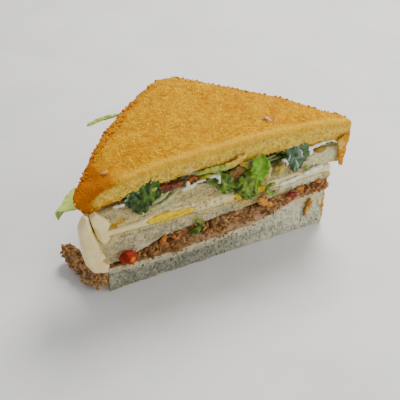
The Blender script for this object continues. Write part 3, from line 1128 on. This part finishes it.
class SANDWICH_OT_salad(bpy.types.Operator):
    """Makes the dressed salad with its shreds, and the mayonnaise"""
    bl_idname = "sandwich.salad"
    bl_label = "Salad and mayonnaise"

    def execute(self, context):
        look = context.scene.sandwich
        core, points, normals = skinned("salad_core", "salad", look.skin)
        near = cells(points * np.array((0.5, 0.5, 1.4)), 2.6, 3)
        push(core, steepness(normals) * (0.9 * (0.5 - near) + 0.5 * waves(points, 3.5, 4)))
        dark = moist_material("Salad core", (0.035, 0.055, 0.004), (0.16, 0.18, 0.02), 3.0, 0.4, depth=0.5,
                              shine=0.2)
        finish_piece(core, dark, ["salad"])

        shape = narrow_strip()
        points, normals = places_of(core)
        steep = np.nonzero(np.abs(normals[:, 2]) < 0.55)[0]
        rng = random.Random(21)
        greens = moist_material("Cabbage shreds", (0.30, 0.36, 0.08), (0.52, 0.54, 0.26), 5.0, 0.35, depth=0.2)
        deep = moist_material("Leaf shreds", (0.06, 0.20, 0.025), (0.16, 0.34, 0.05), 4.0, 0.35, depth=0.3)
        for name, finish, slot in (("cabbage_shreds", greens, "salad"), ("leaf_shreds", deep, "leaf")):
            rows = []
            for index in rng.sample(list(steep), 120):
                outward = Vector((normals[index, 0], normals[index, 1], 0)).normalized()
                along = Vector((-outward.y, outward.x, 0))
                length = rng.uniform(4, 9)
                lean = rng.uniform(-0.35, 0.35)
                axes = Matrix((along, outward, Vector((0, 0, 1)))).transposed().to_4x4()
                turn = Matrix.Rotation(lean, 4, "Y") @ Matrix.Rotation(rng.uniform(0, math.tau), 4, "X")
                scale = Matrix.Diagonal((length / 2 * MM, rng.uniform(0.7, 1.2) * MM, rng.uniform(0.25, 0.45) * MM, 1))
                place = points[index] + np.array(outward) * rng.uniform(0.0, 1.1)
                rows.append(Matrix.Translation(to_frame(*place)) @ axes @ turn @ scale)
            finish_piece(joined(name, shape, rows), finish)

        spread, points, _ = skinned("mayonnaise_spread", "mayonnaise", 0.45, relax=2)
        push(spread, 0.3 * waves(points, 4.0, 6))
        cream = moist_material("Mayonnaise", look.mayonnaise, (0.60, 0.58, 0.40), 2.6, 0.26, grain=1.6, depth=0.3,
                               **glow(0.2, 1.4, 1.2, 0.9))
        finish_piece(spread, cream, ["mayonnaise"])
        self.strips(cream)
        drops = (("dressing_left", [(-51, -33.4, 53.0, 2.2, 0.8, 0.7), (-48.6, -33.8, 53.2, 1.6, 0.8, 0.8)]),
                 ("dressing_middle", [(-18.6, -34.4, 52.4, 2.6, 1.0, 0.9), (-16.0, -34.6, 52.9, 1.8, 1.0, 1.0),
                                      (-17.4, -34.0, 54.6, 1.0, 1.0, 1.6), (-14.0, -34.0, 53.4, 1.4, 0.8, 0.7)]),
                 ("dressing_drip", [(-11.4, -34.2, 54.2, 2.2, 0.8, 0.7), (-8.2, -34.4, 54.7, 2.4, 0.9, 0.7),
                                    (-5.0, -34.6, 55.2, 2.2, 0.9, 0.8), (-2.9, -35.4, 54.4, 1.2, 0.9, 1.2),
                                    (-2.5, -35.8, 52.2, 0.7, 0.7, 1.7)]),
                 ("dressing_right", [(33.0, -33.6, 51.4, 2.2, 0.9, 1.2), (34.4, -33.8, 49.4, 0.8, 0.8, 1.6)]),
                 ("egg_patch_right", [(34.0, -33.2, 36.8, 2.6, 0.8, 1.3), (38.4, -33.3, 37.2, 2.8, 0.9, 1.4),
                                      (42.0, -33.2, 38.0, 1.9, 0.8, 1.0)]),
                 ("egg_chunk_right", [(46.8, -33.4, 39.4, 2.2, 1.1, 1.3), (50.0, -33.5, 40.0, 2.6, 1.2, 1.7),
                                      (53.4, -33.5, 40.6, 2.2, 1.2, 1.5)]),
                 ("dressing_far_right", [(46.6, -33.8, 54.2, 2.2, 0.9, 1.2), (50.0, -33.8, 54.8, 2.6, 0.9, 0.9),
                                         (53.4, -33.6, 55.0, 2.2, 0.8, 0.8), (47.4, -33.6, 51.6, 1.4, 0.7, 1.6)]))
        milk = moist_material("White dressing", (0.88, 0.87, 0.76), (0.76, 0.73, 0.56), 2.6, 0.26, grain=1.6,
                              depth=0.3)
        for name, balls in drops:
            white = name in ("egg_chunk_right", "dressing_far_right", "egg_patch_right")
            finish_piece(blob(name, balls), milk if white else cream)
        return {"FINISHED"}

    def strips(self, cream):
        """Strips of lettuce, cabbage and cucumber that lie bare between the leaves."""
        olive = leaf_material("Olive lettuce", (0.20, 0.24, 0.01), (0.36, 0.38, 0.06), (0.50, 0.50, 0.16))
        mint = leaf_material("Cabbage strip", (0.50, 0.56, 0.26), (0.34, 0.42, 0.12), (0.70, 0.72, 0.50))
        rust = moist_material("Brown strip", (0.13, 0.04, 0.004), (0.24, 0.13, 0.012), 2.4, 0.35,
                              shine=0.3)
        ochre = moist_material("Olive strip", (0.40, 0.32, 0.03), (0.28, 0.20, 0.01), 2.0, 0.35,
                               shine=0.3)
        tan = moist_material("Yellow strip", (0.60, 0.50, 0.18), (0.46, 0.36, 0.08), 2.0, 0.35,
                             shine=0.3)
        leek = leaf_material("Leek strip", (0.08, 0.17, 0.0), (0.24, 0.34, 0.03), (0.40, 0.48, 0.10))
        for name, finish, slot, path, widths, seed in (
                ("olive_lettuce", olive, "lettuce", [(-13.4, -33.4, 58.4), (-6, -33.9, 58.6), (1, -34.1, 57.8),
                                                     (7.4, -33.6, 57.2)], (1.2, 3.2, 3.8, 3.0, 1.0), 1),
                ("olive_lettuce_left", olive, "lettuce", [(-35.0, -33.4, 57.2), (-31.5, -33.8, 54.6),
                                                          (-28.4, -33.4, 50.4)], (1.5, 4.4, 3.6, 1.0), 2),
                ("cabbage_strip_low", mint, "salad", [(-36.0, -34.0, 46.4), (-30.4, -34.3, 47.2),
                                                      (-25.6, -34.1, 49.6), (-21.6, -33.6, 52.8)],
                 (0.8, 2.0, 2.2, 1.2), 4),
                ("cabbage_strip_middle", mint, "salad", [(-35.4, -33.6, 49.2), (-31.2, -34.0, 50.4),
                                                         (-27.4, -33.8, 52.8), (-25.0, -33.5, 55.6)],
                 (0.8, 2.0, 1.8, 0.8), 5),
                ("cabbage_strip_steep", leek, "salad", [(-34.8, -33.5, 51.6), (-32.0, -33.9, 53.0),
                                                        (-29.6, -33.7, 55.4)], (0.8, 1.8, 1.6, 0.8), 6),
                ("brown_strip", rust, "salad", [(3.6, -33.5, 50.2), (7.4, -33.8, 52.6), (12.0, -33.6, 54.2)],
                 (2.5, 6.0, 6.0, 3.0), 7),
                ("olive_strip", ochre, "salad", [(8.6, -34.1, 57.4), (11.8, -34.3, 56.4), (14.8, -33.9, 53.6)],
                 (1.4, 2.8, 3.2, 1.8), 8),
                ("yellow_strip", tan, "salad", [(24.4, -33.8, 51.6), (24.0, -34.1, 46.6), (24.2, -33.8, 41.6)],
                 (2.2, 3.6, 3.4, 1.6), 9),
                ("pale_strip", cream, "mayonnaise", [(22.4, -34.2, 50.2), (22.6, -34.4, 46.4)], (0.6, 1.2, 0.6), 10),
                ("leek_left", leek, "leaf", [(45.2, -33.9, 51.8), (45.6, -34.0, 49.8)], (1.0, 1.9, 0.9), 11),
                ("leek_right", leek, "leaf", [(45.2, -33.9, 44.6), (46.6, -34.0, 41.8)], (1.4, 2.8, 1.2), 12),
                ("leek_by_herb", leek, "leaf", [(-13.8, -33.9, 32.0), (-11.4, -34.0, 29.6), (-10.4, -33.8, 27.2)],
                 (0.8, 1.8, 1.6, 0.6), 13)):
            finish_piece(ribbon(name, path, widths, seed), finish)


class SANDWICH_OT_vegetables(bpy.types.Operator):
    """Makes the tomato, pepper, pickle, olive and onion pieces"""
    bl_idname = "sandwich.vegetables"
    bl_label = "Vegetables"

    def execute(self, context):
        look = context.scene.sandwich
        wet = {"coat_weight": 0.15, "coat_roughness": 0.12, "shine": 0.3}
        dark_red = moist_material("Dark tomato", (0.085, 0.008, 0.0), (0.20, 0.028, 0.002), 2.6, 0.3, **wet)
        red = moist_material("Tomato", look.tomato, (0.32, 0.02, 0.0), 3.0, 0.3, depth=0.15,
                             shine=0.15,
                             smears=(((0.80, 0.20, 0.0), -46.4, 21.6, 1.3, 2.0, 0, 0.5, 0.85),
                                     ((0.13, 0.004, 0.0), -50.0, 23.4, 1.8, 3.2, 0, 0.6, 0.8)))
        orange = moist_material("Pepper", (0.38, 0.085, 0.0), (0.20, 0.028, 0.0), 2.0, 0.24, **wet)
        olive = moist_material("Pickle", (0.44, 0.33, 0.01), (0.24, 0.19, 0.008), 2.4, 0.26,
                               smears=(((0.12, 0.05, 0.006), 29.4, 52.6, 3.2, 2.6, 0, 0.7, 0.9),
                                       ((0.60, 0.50, 0.10), 27.4, 45.0, 0.6, 4.0, 0, 0.6, 0.7),
                                       ((0.58, 0.46, 0.08), 30.0, 47.0, 0.6, 3.0, 0, 0.6, 0.6)), **wet)
        brown = moist_material("Olive", (0.34, 0.15, 0.006), (0.20, 0.17, 0.006), 2.2, 0.25, **wet)
        green = moist_material("Green onion", (0.06, 0.15, 0.0), (0.22, 0.34, 0.02), 1.6, 0.3, **wet)
        amber = moist_material("Yellow pepper", (0.56, 0.26, 0.02), (0.42, 0.14, 0.004), 1.8, 0.32,
                               smears=(((0.70, 0.48, 0.16), 26.0, 29.0, 1.4, 1.4, 0, 0.8, 0.6),), **wet)
        finish_piece(blob("pepper_shreds", [(22.8, -33.3, 32.2, 1.1, 0.9, 1.8), (26.4, -33.4, 26.4, 1.9, 1.1, 1.7),
                                            (23.8, -33.3, 27.4, 1.6, 1.0, 1.2), (28.4, -33.2, 25.2, 1.1, 0.8, 1.0),
                                            (24.6, -33.3, 30.2, 0.9, 0.9, 1.8)], size=0.25), amber)
        for name, node, finish, slot, seed, amount in (
                ("tomato_under_top", "tomato_strip", dark_red, "tomato", 1, 0.5),
                ("pepper_ring", "pepper_curl", orange, "pepper", 2, 0.12),
                ("cucumber", "cucumber_strip", olive, "pickle", 3, 0.2),
                ("pickle", "pickle_slice", olive, "pickle", 4, 0.4),
                ("olive_piece", "olive", brown, "pickle", 5, 0.15),
                ("tomato_piece", "tomato_dice", red, "tomato", 6, 0.3),
                ("onion_green_ring", "onion_ring", green, "onion", 7, 0.2),
                ("pepper_bit", "carrot_bit", amber, "pepper", 8, 0.9)):
            obj, points, _ = skinned(name, node, 0.25, relax=5)
            push(obj, amount * waves(points, 1.8, seed) + 0.12)
            finish_piece(obj, finish, [node])
        return {"FINISHED"}


class SANDWICH_OT_crumbs(bpy.types.Operator):
    """Scatters fried crumbs along the rim of the top slice and crumb bits on the cut"""
    bl_idname = "sandwich.crumbs"
    bl_label = "Crumbs"

    def execute(self, context):
        look = context.scene.sandwich
        rng = random.Random(31)
        top = bpy.data.objects["slice_top"]
        points, normals = places_of(top)
        rim = rim_distance(points, 0.0)
        brown = moist_material("Browned crumbs", (0.62, 0.24, 0.0), (0.40, 0.09, 0.0), 3.0, 0.5, depth=0.3,
                               shine=0.1)
        pool = np.nonzero((normals[:, 2] > 0.25) & (rim < 3.2) & (points[:, 1] > CUT_Y + 2))[0]
        self.sprinkle("rim_crumbs", points, normals, rng.sample(list(pool), look.rim_crumbs), rng, (0.2, 0.8), brown,
                      "toast")
        gold = moist_material("Golden grains", (0.84, 0.46, 0.0), (0.56, 0.26, 0.0), 2.0, 0.4, depth=0.2,
                              shine=0.1)
        from_tip = tip_distance(points)
        pool = np.nonzero((normals[:, 2] > 0.7) & (points[:, 1] > CUT_Y + 3) & (rim > 3) & (from_tip > 24))[0]
        self.sprinkle("top_grains", points, normals, rng.sample(list(pool), 1500), rng, (0.18, 0.42), gold, "toast")
        tree = tree_of(top)
        flecks = []
        for x, y, size in ((27.4, -20.4, 1.5), (29.2, -22.2, 1.9), (31.4, -24.6, 1.3), (30.6, -21.2, 0.9),
                           (-52.9, -25.1, 1.6), (-51.6, -24.6, 0.9)):
            place = tree.ray_cast(to_frame(x, y, ABOVE_ALL), DOWN)[0]
            turn = Matrix.Rotation(rng.uniform(0, math.tau), 4, "Z") @ Matrix.Rotation(0.4, 4, "Y")
            flecks.append(Matrix.Translation(place) @ turn @ scaled(size, (1.3, 0.7, 0.35)))
        peel = moist_material("Torn flecks", (0.66, 0.36, 0.14), (0.50, 0.20, 0.04), 2.0, 0.7, depth=0.3,
                              shine=0.1)
        finish_piece(joined("torn_flecks", pebble(0.9, 4.0, 9, 6), flecks), peel)
        for name, count, upmost in (("slice_top", 150, 6.5), ("slice_upper", 220, 20), ("slice_lower", 220, 20),
                                    ("slice_bottom", 300, 20)):
            piece = bpy.data.objects[name]
            source, facing = places_of(piece)
            low, _ = edges_at_cut("bread" + name[5:])
            pool = np.nonzero((facing[:, 1] < -0.5) & (source[:, 1] < CUT_Y + 3)
                              & (source[:, 2] < low(source[:, 0]) + upmost) & (source[:, 2] > 2.0))[0]
            self.sprinkle("crumbs_" + name[6:], source, facing, rng.sample(list(pool), count), rng, (0.25, 0.6),
                          piece.data.materials[0], "bread")
        return {"FINISHED"}

    def sprinkle(self, name, points, normals, chosen, rng, sizes, material, slot):
        """Puts a crumb of a random size on each chosen point of a piece."""
        shape = pebble(0.6, 2.0, 5, 4)
        rows = []
        for index in chosen:
            size = rng.uniform(*sizes) * MM
            turn = Matrix.Rotation(rng.uniform(0, math.tau), 4, Vector([rng.uniform(-1, 1) for _ in range(3)]))
            scale = Matrix.Diagonal((size, size * rng.uniform(0.6, 1), size * rng.uniform(0.5, 0.9), 1))
            rows.append(placed(points[index] + normals[index] * (size / MM * 0.25), turn, scale))
        finish_piece(joined(name, shape, rows), material)


class SANDWICH_OT_stage(bpy.types.Operator):
    """Puts up the floor, the soft lights and the camera"""
    bl_idname = "sandwich.stage"
    bl_label = "Stage"

    def execute(self, context):
        look = context.scene.sandwich
        bpy.ops.mesh.primitive_plane_add(size=6, location=(0, 0, 0))
        floor = context.object
        floor.name = "floor"
        material, s, shader = new_material("Pale floor", 0.6)
        s.put(shader.inputs["Base Color"], patches(s, (0.74, 0.74, 0.73), (0.70, 0.70, 0.69), 60.0))
        floor.data.materials.append(material)

        world = bpy.data.worlds.new("Studio")
        world.use_nodes = True
        world.node_tree.nodes["Background"].inputs["Color"].default_value = (0.97, 0.98, 1.0, 1)
        world.node_tree.nodes["Background"].inputs["Strength"].default_value = look.sky
        context.scene.world = world
        centre = Vector((0, 0, 0.035))
        for name, place, size, power, colour in (
                ("key", (0.34, 0.30, 0.66), 0.40, look.key, (1.0, 0.97, 0.92)),
                ("front", (0.36, -0.37, 0.266), 0.48, look.fill, (1.0, 0.98, 0.95))):
            lamp = bpy.data.lights.new(name, "AREA")
            lamp.shape = "DISK"
            lamp.size = size
            lamp.energy = power
            lamp.color = colour
            holder = bpy.data.objects.new(name, lamp)
            context.scene.collection.objects.link(holder)
            holder.location = place
            holder.rotation_mode = "QUATERNION"
            holder.rotation_quaternion = (centre - Vector(place)).to_track_quat("-Z", "Y")

        # The camera stands where the photograph was taken from
        azimuth, elevation, distance = math.radians(-25.07), math.radians(40.23), 0.3833
        back = Vector((math.sin(azimuth) * math.cos(elevation), -math.cos(azimuth) * math.cos(elevation),
                       math.sin(elevation)))
        right = Vector((math.cos(azimuth), math.sin(azimuth), 0))
        aim = to_frame(4.1 * math.cos(azimuth), 4.1 * math.sin(azimuth), 12.9)
        camera = bpy.data.cameras.new("camera")
        sensor, focal_pixels, photo_pixels = 36, 732.4, 400
        camera.sensor_width = sensor
        camera.lens = sensor * focal_pixels / photo_pixels
        camera.clip_start = 0.01
        holder = bpy.data.objects.new("camera", camera)
        context.scene.collection.objects.link(holder)
        turn = Matrix((right, back.cross(right), back)).transposed()
        holder.matrix_world = Matrix.Translation(aim + back * distance) @ turn.to_4x4()
        context.scene.camera = holder
        return {"FINISHED"}


# Settings, panel and order of work

def colour_setting(name, description, default):
    return FloatVectorProperty(name=name, description=description, default=default, subtype="COLOR", min=0, max=1)


class SandwichSettings(bpy.types.PropertyGroup):
    skin: FloatProperty(name="Skin", description="Size of the faces of the bread's skin, in millimetres",
                        default=0.6, min=0.3, max=3)
    rim_crumbs: IntProperty(name="Rim crumbs", description="Number of fried crumbs along the rim", default=300)
    key: FloatProperty(name="Key light", description="Power of the light from behind", default=8.0, unit="POWER")
    fill: FloatProperty(name="Front light", description="Power of the light on the cut", default=1.72, unit="POWER")
    sky: FloatProperty(name="Sky", description="Strength of the light from all round", default=0.62)
    top_gold: colour_setting("Gold", "Fried face of the top slice", (0.62, 0.30, 0.0))
    rim_brown: colour_setting("Rim", "Browned rim of the top slice", (0.43, 0.12, 0.0))
    top_crumb: colour_setting("Top crumb", "Crumb of the top slice", (0.84, 0.56, 0.05))
    middle_crumb: colour_setting("Middle crumb", "Crumb of the middle slices", (0.56, 0.46, 0.24))
    upper_crumb: colour_setting("Upper crumb", "Crumb of the slice under the salad", (0.54, 0.43, 0.17))
    bottom_crumb: colour_setting("Bottom crumb", "Crumb of the bottom slice", (0.57, 0.55, 0.37))
    tuna: colour_setting("Tuna", "Flaked tuna", (0.33, 0.175, 0.06))
    egg_white: colour_setting("Egg white", "Boiled egg white", (0.82, 0.70, 0.34))
    yolk: colour_setting("Yolk", "Boiled yolk", (0.90, 0.64, 0.0))
    mayonnaise: colour_setting("Mayonnaise", "Dressing", (0.76, 0.75, 0.60))
    leaf_dark: colour_setting("Dark leaf", "Dark salad leaf", (0.006, 0.026, 0.0))
    leaf_bright: colour_setting("Bright leaf", "Bright lettuce", (0.15, 0.34, 0.0))
    lettuce: colour_setting("Lettuce", "Pale lettuce", (0.48, 0.60, 0.10))
    tomato: colour_setting("Tomato", "Ripe tomato", (0.26, 0.010, 0.0))


ORDER = (SANDWICH_OT_bread, SANDWICH_OT_tuna, SANDWICH_OT_egg, SANDWICH_OT_salad, SANDWICH_OT_leaves,
         SANDWICH_OT_vegetables, SANDWICH_OT_crumbs, SANDWICH_OT_stage)


class SANDWICH_PT_panel(bpy.types.Panel):
    """Lists the settings and the pieces of the sandwich"""
    bl_idname = "SANDWICH_PT_panel"
    bl_label = "Club sandwich"
    bl_space_type = "VIEW_3D"
    bl_region_type = "UI"
    bl_category = "Sandwich"

    def draw(self, context):
        look = context.scene.sandwich
        for name in look.__annotations__:
            self.layout.prop(look, name)
        for step in ORDER:
            self.layout.operator(step.bl_idname)


CLASSES = (SandwichSettings, *ORDER, SANDWICH_PT_panel)


def register():
    for item in CLASSES:
        bpy.utils.register_class(item)
    bpy.types.Scene.sandwich = PointerProperty(type=SandwichSettings)


def unregister():
    del bpy.types.Scene.sandwich
    for item in reversed(CLASSES):
        bpy.utils.unregister_class(item)


def main():
    register()
    GROUPS.update(make_groups())
    for step in ORDER:
        area, name = step.bl_idname.split(".")
        getattr(getattr(bpy.ops, area), name)()


if __name__ == "__main__":
    main()
